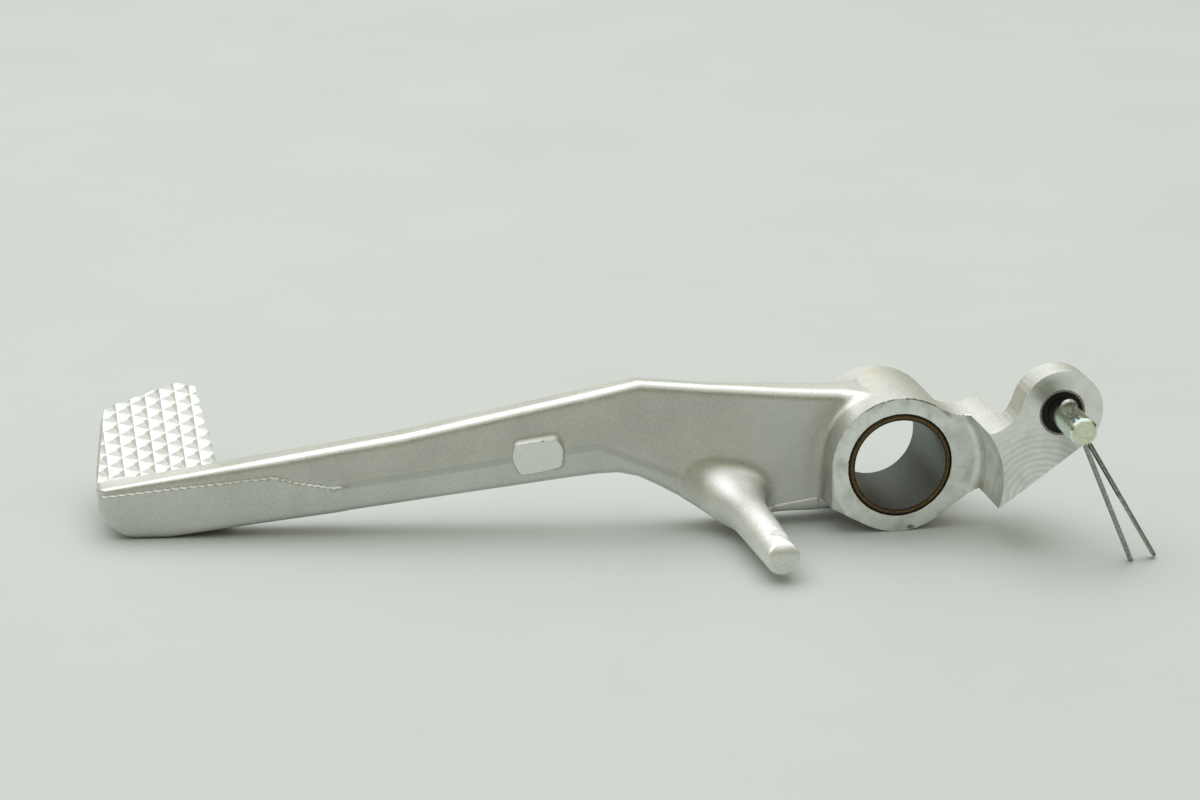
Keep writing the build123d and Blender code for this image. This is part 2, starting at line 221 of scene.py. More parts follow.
# The web is plain under the peg, and the peg's shank and flared root stand on it.
forging = joined_copy("pedal_lever")
forging.normal_update()
fused = forging.copy()
peg_faces = [f for f in fused.faces if peg_box[0] < f.calc_center_median().x < peg_box[1]]
peg_faces = [f for f in peg_faces if any(v.co.y < web_front for v in f.verts)]
cut_away(fused, peg_faces, Vector((0, web_front, 0)), Vector((0, -1, 0)))
for vert in fused.verts:
    off_axis = math.hypot(vert.co.x - peg_root.x, vert.co.z - peg_root.z)
    if off_axis < web_reach and vert.co.y < 0:
        vert.co.y = max(vert.co.y, web_at(vert.co))
add_copy(fused, make_peg_shank(forging))
add_copy(fused, make_peg_root())
lever_mesh = bpy.data.meshes.new("pedal_lever_looks")
fused.to_mesh(lever_mesh)
fused.free()
lever = new_piece("pedal_lever_looks", lever_mesh)
remesh = lever.modifiers.new("remesh", "REMESH")
remesh.mode = "VOXEL"
remesh.voxel_size = voxel
apply_modifiers(lever)

sweep_start = 40.0 * mm
sweep_slope = math.tan(math.radians(7.5))
badge_middle = Vector((-76.5, 0.0, 2.9)) * mm
badge_slope = 0.148
brow_start = 1.2 * mm
brow_end = 2.6 * mm
brow_top = 5.0 * mm
brow_half = 6.5 * mm
brow_foot = 4.5 * mm
brow_depth = 0.9 * mm
brow_fall = 1.0


def arm_line(x):
    """How far outboard the arm's middle has swept at x."""
    return np.maximum(0, -x - sweep_start) * sweep_slope


def above_badge(x, z):
    """How high a place is over the raised pad's middle line, which climbs towards the hub."""
    return z - badge_middle.z - badge_slope * (x - badge_middle.x)


# The raised pad's upper edge slopes back into the arm's side.
spots = places(lever.data)
x, y, z = spots.T
arm_middle = arm_line(x)
over_badge = above_badge(x, z)
on_brow = fade(over_badge, brow_start, brow_end) * (over_badge < brow_top)
on_brow *= np.abs(x - badge_middle.x) < brow_half
spots[:, 2] -= brow_fall * on_brow * np.clip(arm_middle - brow_foot - y, 0, brow_depth)
set_places(lever.data, spots)

pad_corner = Vector((-169.6, 19.763, -5.3)) * mm
pad_dip = math.radians(14.5)
pad_rise = math.radians(24.4)
pad_across = Vector((math.cos(pad_dip), 0.0, -math.sin(pad_dip)))
pad_level = Vector((math.sin(pad_dip), 0.0, math.cos(pad_dip)))
pad_up = pad_level * math.cos(pad_rise) - Vector((0.0, math.sin(pad_rise), 0.0))
pad_start = 3.0 * mm
pad_end = -138.5 * mm
pad_skin = 0.4 * mm
hub_radius = 15.0 * mm
hub_half = 12.5 * mm
rim_depth = 1.0 * mm
milled_start = 1.0 * mm
milled_blend = 3.0 * mm
parting_x = np.array((-169.6, -132.3, -120.0, -64.0, -34.0)) * mm
parting_z = np.array((-6.3, -1.9, -3.9, 4.4, -7.5)) * mm
flank = 3.2 * mm
land_half = 0.7 * mm
land_edge = 0.12 * mm
land_softness = 0.12
land_start = -121.0 * mm
land_end = -45.0 * mm
badge_reach = 9.0 * mm
badge_blend = 1.5 * badge_reach
badge_softness = 0.30
soft_rounds = 24


def at_hub_rim(x, y, z):
    """Whether a place is at one of the hub's two end rims."""
    return (np.abs(y) > hub_half - rim_depth) & (np.hypot(x, z) < hub_radius + rim_depth)


# The forging is soft all over but at the milled places, the pad, the trimmed land and the raised pad.
pad_height = (spots - np.array(pad_corner)) @ np.array(pad_up)
on_pad = (x < pad_end) & (y > arm_middle + pad_start) & (pad_height > -pad_skin)
crisp = np.where(on_pad | at_hub_rim(x, y, z), 1.0, fade(x, milled_start, milled_start + milled_blend))
parting = np.interp(x, parting_x, parting_z)
on_flank = np.abs(y - arm_middle) > flank
on_land = fade(-np.abs(z - parting), -2 * land_half, -land_half - land_edge)
on_land *= on_flank & (x < land_end)
near_badge = 1 - fade(np.hypot(x - badge_middle.x, z - badge_middle.z), badge_reach, badge_blend)
near_badge *= y < arm_middle
softness = (1 - crisp) * (1 - (1 - badge_softness) * near_badge) * (1 - (1 - land_softness) * on_land)
soften(lever, softness, soft_rounds)

foot_inside = 4.5 * mm
foot_outside = 14.0 * mm
foot_blend = 1.5 * mm
foot_reach = 7.0 * mm
foot_rounds = 40
hub_corner = Vector((-8.5, -8.0, 14.6)) * mm
corner_reach = 6.0 * mm
corner_rounds = 200

# The peg's foot and the arm's upper corner at the hub run out smoothly.
spots = places(lever.data)
from_peg = np.hypot(spots[:, 0] - peg_root.x, spots[:, 2] - peg_root.z)
at_foot = fade(from_peg, foot_inside, foot_inside + foot_blend)
at_foot *= 1 - fade(from_peg, foot_outside - foot_blend, foot_outside)
at_foot *= (spots[:, 1] < 0) & (spots[:, 1] > peg_root.y - foot_reach)
from_corner = np.linalg.norm(spots - np.array(hub_corner), axis=1)
at_corner = 1 - fade(from_corner, corner_reach / 2, corner_reach)
soften(lever, at_foot * (1 - crisp), foot_rounds)
soften(lever, at_corner * (1 - crisp), corner_rounds)

sharp_turn = math.radians(24)
edge_step = 0.05 * mm
edge_pull = 0.55 * voxel
edge_clear = 2.0 * voxel
least_crisp = 0.02

# The milled faces and the pad's sides are true, and their edges are sharp.
skin = BVHTree.FromBMesh(forging)
rims = []
for edge in forging.edges:
    if edge.calc_face_angle(0) > sharp_turn:
        start, end = (v.co for v in edge.verts)
        middle = (start + end) / 2
        is_pad = middle.x < pad_end and (middle - pad_corner).dot(pad_up) > -pad_skin
        if middle.x > milled_start or at_hub_rim(*middle) or is_pad:
            count = max(2, int((end - start).length / edge_step))
            rims += [start.lerp(end, i / count) for i in range(count + 1)]
forging.free()
rim_tree = KDTree(len(rims))
for i, rim in enumerate(rims):
    rim_tree.insert(rim, i)
rim_tree.balance()
spots = places(lever.data)
rounded = np.zeros(len(spots))
for i in np.flatnonzero(crisp > least_crisp):
    here = Vector(spots[i])
    there = skin.find_nearest(here)[0]
    rim, _, gap = rim_tree.find(there)
    if gap < edge_pull:
        there = rim
    if gap > edge_clear:
        rounded[i] = 1.0
    spots[i] = here.lerp(there, crisp[i])

pyramid_seat = 0.05 * mm
pad_clear = 5.4 * mm
toe_top = Vector((-169.6, 0.0, -4.7)) * mm
toe_climb = math.radians(9.75)
toe_up = Vector((-math.sin(toe_climb), 0.0, math.cos(toe_climb)))
badge_front = 5.25 * mm
badge_edge = 0.13 * mm
badge_half = Vector((6.2, 0.0, 5.2)) * mm

# The pad's bed is flat, and the raised pad is ground flat along the arm's side.
over_pad = (spots - np.array(pad_corner)) @ np.array(pad_up) + pyramid_seat
over_toe = (spots - np.array(toe_top)) @ np.array(toe_up)
over_bed = np.where(spots[:, 1] > arm_middle + pad_clear, over_pad, np.minimum(over_pad, over_toe))
spots -= np.outer(np.maximum(0, over_bed) * on_pad, np.array(pad_up))
x, y, z = spots.T
in_badge = (np.abs(x - badge_middle.x) < badge_half.x) & (np.abs(z - badge_middle.z) < badge_half.z)
behind = y - (arm_middle - badge_front)
on_edge = in_badge & (np.abs(behind) < badge_edge) & (above_badge(x, z) > brow_start)
spots[:, 2] -= brow_fall * behind * on_edge
spots[:, 1] -= behind * (on_edge | (in_badge & (behind < 0)))

ledge_end = -119.0 * mm
ledge_fade = 3.0 * mm
ledge_proud = 0.32 * mm
ledge_edge = 0.10 * mm
lip_start = Vector((-27.1, 0.0, -10.6)) * mm
lip_end = Vector((-15.8, 0.0, -9.1)) * mm
lip_proud = 0.30 * mm
nick_place = Vector((-120.1, 5.75, -3.64)) * mm
nick_radius = 0.7 * mm
nick_depth = 0.25 * mm
top_x = np.array((-169.6, -105.0, -55.0, 0.0)) * mm
top_z = np.array((-4.7, 6.4, 17.5, 13.8)) * mm
top_lift = 1.1 * mm
top_depth = (-6.0 * mm, -1.5 * mm)
lift_end = (-58.0 * mm, -10.0 * mm)
arm_half = 4.8 * mm
round_rounds = 4
seam_start = 1.0 * mm
seam_depth = 0.8 * mm
seam_rounds = 14

# The toe has a trimmed ledge that ends in a nick, the web has a thin lip, and the arm's top falls outboard.
side = np.sign(y - arm_middle)
ledge = (1 - np.tanh((z - parting) / ledge_edge)) / 2 * (1 - fade(x, ledge_end, ledge_end + ledge_fade))
ledge *= on_flank & ~on_pad
lip_height = lip_start.z + (x - lip_start.x) * (lip_end.z - lip_start.z) / (lip_end.x - lip_start.x)
lip = (1 - np.tanh((z - lip_height) / ledge_edge)) / 2 * ((x > lip_start.x) & (x < lip_end.x) & on_flank)
nick = np.exp(-((spots - np.array(nick_place)) ** 2).sum(1) / nick_radius ** 2)
spots[:, 1] += side * (ledge_proud * ledge + lip_proud * lip - nick_depth * nick)
lift = top_lift * np.clip((arm_middle + arm_half - y) / (2 * arm_half), 0, 1)
lift *= fade(z - np.interp(x, top_x, top_z), *top_depth) * (1 - fade(x, *lift_end))
spots[:, 2] += lift * ~on_pad
set_places(lever.data, spots)
soften(lever, rounded, round_rounds)
at_seam = (x < pad_end) & (y > arm_middle + seam_start) & (y < arm_middle + pad_clear)
at_seam &= over_toe > -seam_depth
soften(lever, at_seam.astype(float), seam_rounds)

lever_triangles = 190000
lever_crease = math.radians(32)
join_reach = 0.002 * mm
pad_outward = pad_up.cross(pad_across)
pad_outline = [(0.0, -0.5), (0.0, 25.7), (15.6, 38.9), (19.8, 38.9), (29.4, -0.5)]
pad_proud = 0.03 * mm
pad_sole = 0.8 * mm
pyramid_height = 0.56 * mm
pyramid_columns = 12
pyramid_rows = 13
pyramid_middle = Vector((14.29, 19.99, 0.0)) * mm
column_step = Vector((3.56, 0.0, 0.0)) * mm
row_step = Vector((0.54, -3.62, 0.0)) * mm
tip_shift = column_step * 0.11 + row_step * 0.08


def make_pyramids():
    """The toe pad's pyramids: a leaning grid of cells on the pad's plane, trimmed to the pad's outline."""
    grid = bmesh.new()
    lean = Matrix((column_step * pyramid_columns, row_step * pyramid_rows, Vector((0, 0, 1))))
    lean = Matrix.Translation(pyramid_middle) @ lean.transposed().to_4x4()
    bmesh.ops.create_grid(
        grid,
        x_segments=pyramid_columns,
        y_segments=pyramid_rows,
        size=0.5,
        matrix=lean,
    )
    tips = bmesh.ops.poke(grid, faces=grid.faces[:], center_mode="MEAN")["verts"]
    bmesh.ops.translate(grid, verts=tips, vec=tip_shift + Vector((0, 0, pyramid_height)))
    corners = [Vector((across, out, 0.0)) * mm for across, out in pad_outline]
    for i, corner in enumerate(corners):
        border = corner - corners[i - 1]
        away = Vector((-border.y, border.x, 0.0)).normalized()
        geometry = grid.verts[:] + grid.edges[:] + grid.faces[:]
        limit = corner + away * pad_proud
        bmesh.ops.bisect_plane(grid, geom=geometry, plane_co=limit, plane_no=away, clear_outer=True)
    walls = bmesh.ops.extrude_edge_only(grid, edges=[e for e in grid.edges if e.is_boundary])
    for part in walls["geom"]:
        if isinstance(part, bmesh.types.BMVert):
            part.co.z = -pad_sole
    bmesh.ops.holes_fill(grid, edges=[e for e in grid.edges if e.is_boundary])
    bmesh.ops.recalc_face_normals(grid, faces=grid.faces)
    lie = Matrix((pad_across, pad_outward, pad_up)).transposed().to_4x4()
    bmesh.ops.transform(grid, matrix=Matrix.Translation(pad_corner) @ lie, verts=grid.verts)
    return grid


# The skin is made lighter and cleaned of folds, and the pyramids stand on the pad's bed.
decimate = lever.modifiers.new("decimate", "DECIMATE")
decimate.ratio = lever_triangles / (2 * len(lever.data.polygons))
apply_modifiers(lever)
lever.data.validate()
lever.data.shade_smooth()
lever.data.set_sharp_from_angle(angle=lever_crease)
looks = bmesh.new()
looks.from_mesh(lever.data)
bmesh.ops.remove_doubles(looks, verts=looks.verts, dist=join_reach)
bmesh.ops.dissolve_degenerate(looks, edges=looks.edges, dist=join_reach)
folds = [f for f in looks.faces if any(e.is_boundary for e in f.edges)]
bmesh.ops.delete(looks, geom=folds, context="FACES")
bmesh.ops.holes_fill(looks, edges=[e for e in looks.edges if e.is_boundary])
first_pyramid = len(looks.faces)
add_copy(looks, make_pyramids())
looks.to_mesh(lever.data)
looks.free()

# The trimmed land along the arm's parting line is marked for its darker shade.
x, y, z = places(lever.data).T
from_parting = np.abs(z - np.interp(x, parting_x, parting_z))
land = fade(-from_parting, -land_half - land_edge, -land_half)
land *= (np.abs(y - arm_line(x)) > flank) * fade(x, land_start, land_start + ledge_fade)
land *= 1 - fade(x, land_end - ledge_fade, land_end)
shading = lever.data.attributes.new("land", "FLOAT", "POINT")
shading.data.foreach_set("value", land.astype(np.float32))


def new_finish(name):
    """A metal material: returns it with its node tree and its shader."""
    finish = bpy.data.materials.new(name)
    finish.use_nodes = True
    shader = finish.node_tree.nodes["Principled BSDF"]
    shader.inputs["Metallic"].default_value = 1.0
    return finish, finish.node_tree, shader


def add_node(tree, kind, inputs, **settings):
    """Adds a node with its settings, and sets or links its inputs."""
    made = tree.nodes.new(kind)
    for name, value in settings.items():
        setattr(made, name, value)
    for name, value in inputs.items():
        if isinstance(value, bpy.types.NodeSocket):
            tree.links.new(value, made.inputs[name])
        else:
            made.inputs[name].default_value = value
    return made


def object_place(tree):
    """Object coordinates."""
    return tree.nodes.new("ShaderNodeTexCoord").outputs["Object"]


def add_range(tree, value, low, high, start, end):
    """The value's stretch from low to high turned into start to end."""
    inputs = {"Value": value, "From Min": low, "From Max": high, "To Min": start, "To Max": end}
    return add_node(tree, "ShaderNodeMapRange", inputs).outputs["Result"]


def add_ramp(tree, value, stops):
    """A colour ramp through the given stops."""
    ramp = add_node(tree, "ShaderNodeValToRGB", {"Fac": value})
    elements = ramp.color_ramp.elements
    while len(elements) < len(stops):
        elements.new(0.5)
    for element, (position, colour) in zip(elements, stops):
        element.position = position
        element.color = (*colour, 1.0)
    return ramp.outputs["Color"]


def add_tones(tree, value, low, high, stops):
    """A colour ramp over the value's stretch from low to high."""
    return add_ramp(tree, add_range(tree, value, low, high, 0.0, 1.0), stops)


def add_math(tree, operation, first, second):
    """One sum on two values."""
    return add_node(tree, "ShaderNodeMath", {0: first, 1: second}, operation=operation).outputs["Value"]


def add_noise(tree, place, size, detail):
    """Cloudy noise whose patches are about the given size."""
    inputs = {"Vector": place, "Scale": 1.0 / size, "Detail": detail, "Roughness": 0.6}
    return add_node(tree, "ShaderNodeTexNoise", inputs).outputs["Fac"]


def add_rings(tree, place, scale, distortion, detail, detail_scale):
    """Uneven rings round the y axis."""
    inputs = {"Vector": place, "Scale": scale, "Distortion": distortion, "Detail": detail}
    inputs["Detail Scale"] = detail_scale
    return add_node(tree, "ShaderNodeTexWave", inputs, wave_type="RINGS", rings_direction="Y").outputs["Fac"]


def add_mix(tree, share, first, second, blend="MIX"):
    """Two colours mixed by a share."""
    mix = add_node(tree, "ShaderNodeMix", {0: share, 6: first, 7: second}, data_type="RGBA", blend_type=blend)
    return mix.outputs[2]


def add_distance(tree, place, centre, scale):
    """How far a place is from a centre, with each direction counted by its scale."""
    kind = "ShaderNodeVectorMath"
    offset = add_node(tree, kind, {0: place, 1: centre}, operation="SUBTRACT").outputs["Vector"]
    scaled = add_node(tree, kind, {0: offset, 1: scale}, operation="MULTIPLY").outputs["Vector"]
    return add_node(tree, kind, {0: scaled}, operation="LENGTH").outputs["Value"]


def add_bump(tree, shader, height, strength, depth):
    """Bumps of the given depth on a shader."""
    inputs = {"Height": height, "Strength": strength, "Distance": depth}
    bump = add_node(tree, "ShaderNodeBump", inputs)
    tree.links.new(bump.outputs["Normal"], shader.inputs["Normal"])


def link_finish(tree, shader, colour, roughness):
    """Gives a shader its colour and its roughness."""
    tree.links.new(colour, shader.inputs["Base Color"])
    tree.links.new(roughness, shader.inputs["Roughness"])


def give_finishes(piece, *finishes):
    """Gives a piece its finishes in place of any that it had."""
    piece.data.materials.clear()
    for finish in finishes:
        piece.data.materials.append(finish)


# Blasted forging: silver grain and clouds, a yellow stain on the hub, a darker land, and painted light that
# makes the peg paler.
round_y = (1.0, 0.0, 1.0)
grain_size = 0.42 * mm
grain_share = 0.65
grain_depth = 0.07 * mm
cloud_size = 12.0 * mm
stain_place = Vector((0.0, 4.0, 15.0)) * mm
stain_stretch = (1.0, 0.8, 1.6)
stain_size = 5.0 * mm
stain_colour = (0.66, 0.60, 0.42, 1.0)
land_shade = 0.65
land_colour = (0.52, 0.525, 0.485, 1.0)
peg_painted_light = (0.17, 0.17, 0.18, 1.0)
peg_roughness = 0.08
forged, tree, shader = new_finish("blasted_forging")
place = object_place(tree)
grain = add_noise(tree, place, grain_size, 3.0)
cloud = add_noise(tree, place, cloud_size, 4.0)
grain_part = add_math(tree, "MULTIPLY", grain, grain_share)
cloud_part = add_math(tree, "MULTIPLY", cloud, 1 - grain_share)
silver = add_tones(tree, add_math(tree, "ADD", grain_part, cloud_part), 0.3, 0.7, [
    (0.0, (0.53, 0.535, 0.505)),
    (0.5, (0.655, 0.658, 0.625)),
    (1.0, (0.775, 0.78, 0.75)),
])
stain_reach = add_distance(tree, place, stain_place, stain_stretch)
near_stain = add_range(tree, stain_reach, 4.0 * mm, 9.0 * mm, 1.0, 0.0)
stain_cloud = add_range(tree, add_noise(tree, place, stain_size, 5.0), 0.48, 0.66, 0.0, 0.5)
stained = add_mix(tree, add_math(tree, "MULTIPLY", near_stain, stain_cloud), silver, stain_colour)
land_share = add_node(tree, "ShaderNodeAttribute", {}, attribute_name="land").outputs["Fac"]
trimmed = add_mix(tree, add_math(tree, "MULTIPLY", land_share, land_shade), stained, land_colour)
peg_reach = add_distance(tree, place, peg_root, round_y)
near_peg = add_range(tree, peg_reach, 8.0 * mm, 11.0 * mm, 1.0, 0.0)
forward = add_node(tree, "ShaderNodeSeparateXYZ", {"Vector": place}).outputs["Y"]
off_web = add_range(tree, forward, -5.0 * mm, -8.0 * mm, 0.0, 1.0)
on_peg = add_math(tree, "MULTIPLY", near_peg, off_web)
# The peg's colour is lightened here: painted light standing in for the light that the peg's upper side
# catches.
with_painted_peg_light = add_mix(tree, on_peg, trimmed, peg_painted_light, "ADD")
roughness = add_range(tree, grain, 0.3, 0.7, 0.40, 0.52)
roughness = add_math(tree, "ADD", roughness, add_math(tree, "MULTIPLY", on_peg, peg_roughness))
link_finish(tree, shader, with_painted_peg_light, roughness)
add_bump(tree, shader, grain, 0.30, grain_depth)

# Turned hub face: fine rings and scratches, a ragged dark line at the rim and one dark spot below.
pivot_axis = Vector((0.0, 0.0, 0.0))
turned_cloud = 3.5 * mm
ring_depth = 0.02 * mm
scratch_size = 0.5 * mm
scratch_turn = (0.0, 0.6, 0.0)
scratch_stretch = (1.0, 1.0, 0.06)
scratch_colour = (0.36, 0.36, 0.33, 1.0)
burr_place = Vector((1.3, -12.5, 14.9)) * mm
burr_size = 1.6 * mm
every_way = (1.0, 1.0, 1.0)
spot_place = Vector((2.7, -12.5, -14.16)) * mm
spot_stretch = (1.0, 0.2, 1.8)
dark_mark_colour = (0.10, 0.095, 0.08, 1.0)
turned, tree, shader = new_finish("turned_face")
place = object_place(tree)
rings = add_rings(tree, place, scale=900.0, distortion=1.2, detail=2.0, detail_scale=3.0)
cloud = add_noise(tree, place, turned_cloud, 6.0)
pale = add_tones(tree, cloud, 0.32, 0.68, [
    (0.0, (0.60, 0.62, 0.58)),
    (0.45, (0.77, 0.785, 0.755)),
    (1.0, (0.86, 0.875, 0.85)),
])
stretched = add_node(
    tree,
    "ShaderNodeMapping",
    {"Vector": place, "Rotation": scratch_turn, "Scale": scratch_stretch},
).outputs["Vector"]
scratches = add_range(tree, add_noise(tree, stretched, scratch_size, 2.0), 0.66, 0.70, 0.0, 0.35)
pale = add_mix(tree, scratches, pale, scratch_colour)
hub_reach = add_distance(tree, place, pivot_axis, round_y)
rim_line = add_range(tree, hub_reach, 14.55 * mm, 14.8 * mm, 0.0, 1.0)
burr_reach = add_distance(tree, place, burr_place, every_way)
burr = add_math(tree, "MULTIPLY", add_range(tree, burr_reach, 8.0 * mm, 11.5 * mm, 1.0, 0.0), rim_line)
ragged = add_range(tree, add_noise(tree, place, burr_size, 4.0), 0.40, 0.55, 0.25, 0.9)
burr = add_math(tree, "MULTIPLY", burr, ragged)
# The dark spot lies at the face's bottom edge, where the hub meets the floor.
spot_reach = add_distance(tree, place, spot_place, spot_stretch)
spot = add_range(tree, spot_reach, 0.5 * mm, 1.1 * mm, 0.8, 0.0)
darkened_face = add_mix(tree, add_math(tree, "MAXIMUM", burr, spot), pale, dark_mark_colour)
link_finish(tree, shader, darkened_face, add_range(tree, cloud, 0.3, 0.7, 0.38, 0.28))
add_bump(tree, shader, rings, 0.06, ring_depth)

# Milled ear: arcs of the cutter below the eye, and a painted dark reflection beside it.
arc_centre = Vector((26.6, 0.0, -3.9)) * mm
arc_shade = 0.26
arc_depth = 0.03 * mm
ear_cloud = 3.0 * mm
dark_reflection_place = Vector((28.3, -27.8, 20.2)) * mm
dark_reflection_stretch = (0.8, 0.0, 1.2)
mark_and_reflection_colour = (0.44, 0.44, 0.405, 1.0)
milled, tree, shader = new_finish("milled_ear")
place = object_place(tree)
centred = add_node(tree, "ShaderNodeMapping", {"Vector": place, "Location": -arc_centre}).outputs["Vector"]
arcs = add_rings(tree, centred, scale=235.0, distortion=2.2, detail=3.0, detail_scale=2.5)
arc_reach = add_distance(tree, place, arc_centre, round_y)
marks = add_math(tree, "MULTIPLY", arcs, add_range(tree, arc_reach, 12.0 * mm, 19.0 * mm, 1.0, 0.1))
cloud = add_noise(tree, place, ear_cloud, 6.0)
pale = add_tones(tree, cloud, 0.3, 0.7, [
    (0.0, (0.75, 0.75, 0.72)),
    (0.5, (0.83, 0.83, 0.81)),
    (1.0, (0.88, 0.88, 0.865)),
])
# The grey patch beside the eye bush is a painted dark reflection on the glossy face, clouded by the noise.
dark_reflection_reach = add_distance(tree, place, dark_reflection_place, dark_reflection_stretch)
dark_reflection = add_range(tree, dark_reflection_reach, 1.5 * mm, 4.2 * mm, 1.0, 0.0)
dark_reflection = add_math(tree, "MULTIPLY", dark_reflection, add_range(tree, cloud, 0.35, 0.6, 0.2, 0.75))
shade = add_math(tree, "MAXIMUM", add_math(tree, "MULTIPLY", marks, arc_shade), dark_reflection)
marked = add_mix(tree, shade, pale, mark_and_reflection_colour)
link_finish(tree, shader, marked, add_range(tree, marks, 0.0, 1.0, 0.28, 0.36))
add_bump(tree, shader, marks, 0.08, arc_depth)

# Ground raised pad: pale and slightly clouded.
fine_size = 0.4 * mm
fine_depth = 0.03 * mm
ground_cloud = 2.5 * mm
ground, tree, shader = new_finish("ground_pad")
place = object_place(tree)
cloud = add_noise(tree, place, ground_cloud, 5.0)
pale = add_tones(tree, cloud, 0.3, 0.7, [
    (0.0, (0.76, 0.76, 0.735)),
    (1.0, (0.88, 0.88, 0.865)),
])
link_finish(tree, shader, pale, add_range(tree, cloud, 0.3, 0.7, 0.26, 0.36))
add_bump(tree, shader, add_noise(tree, place, fine_size, 2.0), 0.08, fine_depth)

# Pressed pyramids: a duller, rubbed grey.
pressed_cloud = 3.0 * mm
pressed, tree, shader = new_finish("pressed_pyramids")
place = object_place(tree)
cloud = add_noise(tree, place, pressed_cloud, 5.0)
pale = add_tones(tree, cloud, 0.3, 0.7, [
    (0.0, (0.52, 0.52, 0.505)),
    (1.0, (0.60, 0.60, 0.585)),
])
link_finish(tree, shader, pale, add_range(tree, cloud, 0.3, 0.7, 0.50, 0.60))
add_bump(tree, shader, add_noise(tree, place, fine_size, 2.0), 0.10, fine_depth)

finishes = (forged, turned, milled, ground, pressed)
spot_face_radius = 18.35 * mm
ear_rear = -20.8 * mm
ear_start = 10.0 * mm
close = 0.2 * mm
flat_enough = 0.9
badge_close = 0.08 * mm
badge_flat = 0.98
badge_normal = Vector((-sweep_slope, -1.0, 0.0)).normalized()
give_finishes(lever, *finishes)
for face in lever.data.polygons:
    middle = face.center
    reach = math.hypot(middle.x, middle.z)
    flat = abs(face.normal.y) > flat_enough
    on_hub_end = flat and reach < hub_radius and abs(middle.y) > hub_half - close
    in_spot_face = middle.x > 0 and reach < spot_face_radius and middle.y < close - hub_half
    on_ear = flat and middle.x > ear_start and middle.y < ear_rear + close
    off_badge = middle - badge_middle
    off_face = middle.y - arm_line(middle.x) + badge_front
    on_badge = abs(off_badge.x) < badge_half.x and abs(off_badge.z) < badge_half.z
    on_badge = on_badge and abs(off_face) < badge_close and face.normal.dot(badge_normal) > badge_flat
    if on_hub_end or in_spot_face:
        face.material_index = finishes.index(turned)
    if on_ear:
        face.material_index = finishes.index(milled)
    if on_badge:
        face.material_index = finishes.index(ground)
    if face.index >= first_pyramid:
        face.material_index = finishes.index(pressed)
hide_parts("pedal_lever")
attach(lever, "lever")

# Pivot bush: a wrapped bronze bush pressed flush into the hub, lined with a thin dark sliding layer.
# Its bronze shows only as a brown ring at the ends, edged outside by a painted shadow of its chamfer; the
# lining is grey and speckled in the bore.
bush_bore = 10.0 * mm
bush_outside = 11.5 * mm
lining_edge = 0.05 * mm
bush_metal = 0.75
bush_speckle = 0.45 * mm
bush_depth = 0.06 * mm
bush_finish, tree, shader = new_finish("bronze_and_lining")
place = object_place(tree)
bush_reach = add_distance(tree, place, pivot_axis, round_y)
speckle = add_noise(tree, place, bush_speckle, 5.0)
height = add_node(tree, "ShaderNodeSeparateXYZ", {"Vector": place}).outputs["Z"]
# The lining is darker towards the bottom of the bore.
lining = add_tones(tree, height, -bush_bore, -0.2 * bush_bore, [
    (0.0, (0.085, 0.095, 0.09)),
    (1.0, (0.19, 0.212, 0.20)),
])
# The darkest outer stop is a painted shadow in the outer chamfer; the dark inner stops are the lining's end.
bronze_and_chamfer_shadow = add_tones(tree, bush_reach, bush_bore, bush_outside, [
    (0.06, (0.10, 0.10, 0.085)),
    (0.14, (0.018, 0.015, 0.010)),
    (0.34, (0.20, 0.135, 0.055)),
    (0.56, (0.15, 0.10, 0.035)),
    (0.74, (0.035, 0.024, 0.010)),
])
is_ring = add_range(tree, bush_reach, bush_bore + lining_edge, bush_bore + 2 * lining_edge, 0.0, 1.0)
mottle = add_tones(tree, speckle, 0.34, 0.62, [
    (0.0, (0.12, 0.12, 0.12)),
    (0.30, (0.62, 0.62, 0.62)),
    (1.0, (1.0, 1.0, 0.98)),
])
speckled = add_mix(tree, 1.0, add_mix(tree, is_ring, lining, bronze_and_chamfer_shadow), mottle, "MULTIPLY")
link_finish(tree, shader, speckled, add_range(tree, speckle, 0.3, 0.7, 0.36, 0.56))
shader.inputs["Metallic"].default_value = bush_metal
add_bump(tree, shader, speckle, 0.22, bush_depth)
give_finishes(frame["nodes"]["pivot_bush"], bush_finish)

# Eye bush: a thin plain metal shell round a black lining, pressed into the ear for the clevis pin.
# The lining stands a little below the shell at both ends.
pin_joint = frame["joints"][0]
cross_hole = Vector(pin_joint["pos_m"])
shell_inside = 4.50 * mm
shell_edge = 0.06 * mm
shell_metal = 0.7
soot_size = 0.5 * mm
black = (0.016, 0.015, 0.013, 1.0)
eye_finish, tree, shader = new_finish("shell_and_lining")
place = object_place(tree)
eye_reach = add_distance(tree, place, cross_hole, round_y)
soot = add_noise(tree, place, soot_size, 3.0)
shell = add_tones(tree, soot, 0.3, 0.7, [
    (0.0, (0.16, 0.14, 0.11)),
    (1.0, (0.42, 0.40, 0.36)),
])
is_shell = add_range(tree, eye_reach, shell_inside, shell_inside + shell_edge, 0.0, 1.0)
lined = add_mix(tree, is_shell, black, shell)
link_finish(tree, shader, lined, add_range(tree, soot, 0.3, 0.7, 0.35, 0.55))
shader.inputs["Metallic"].default_value = shell_metal
give_finishes(frame["nodes"]["eye_bush"], eye_finish)

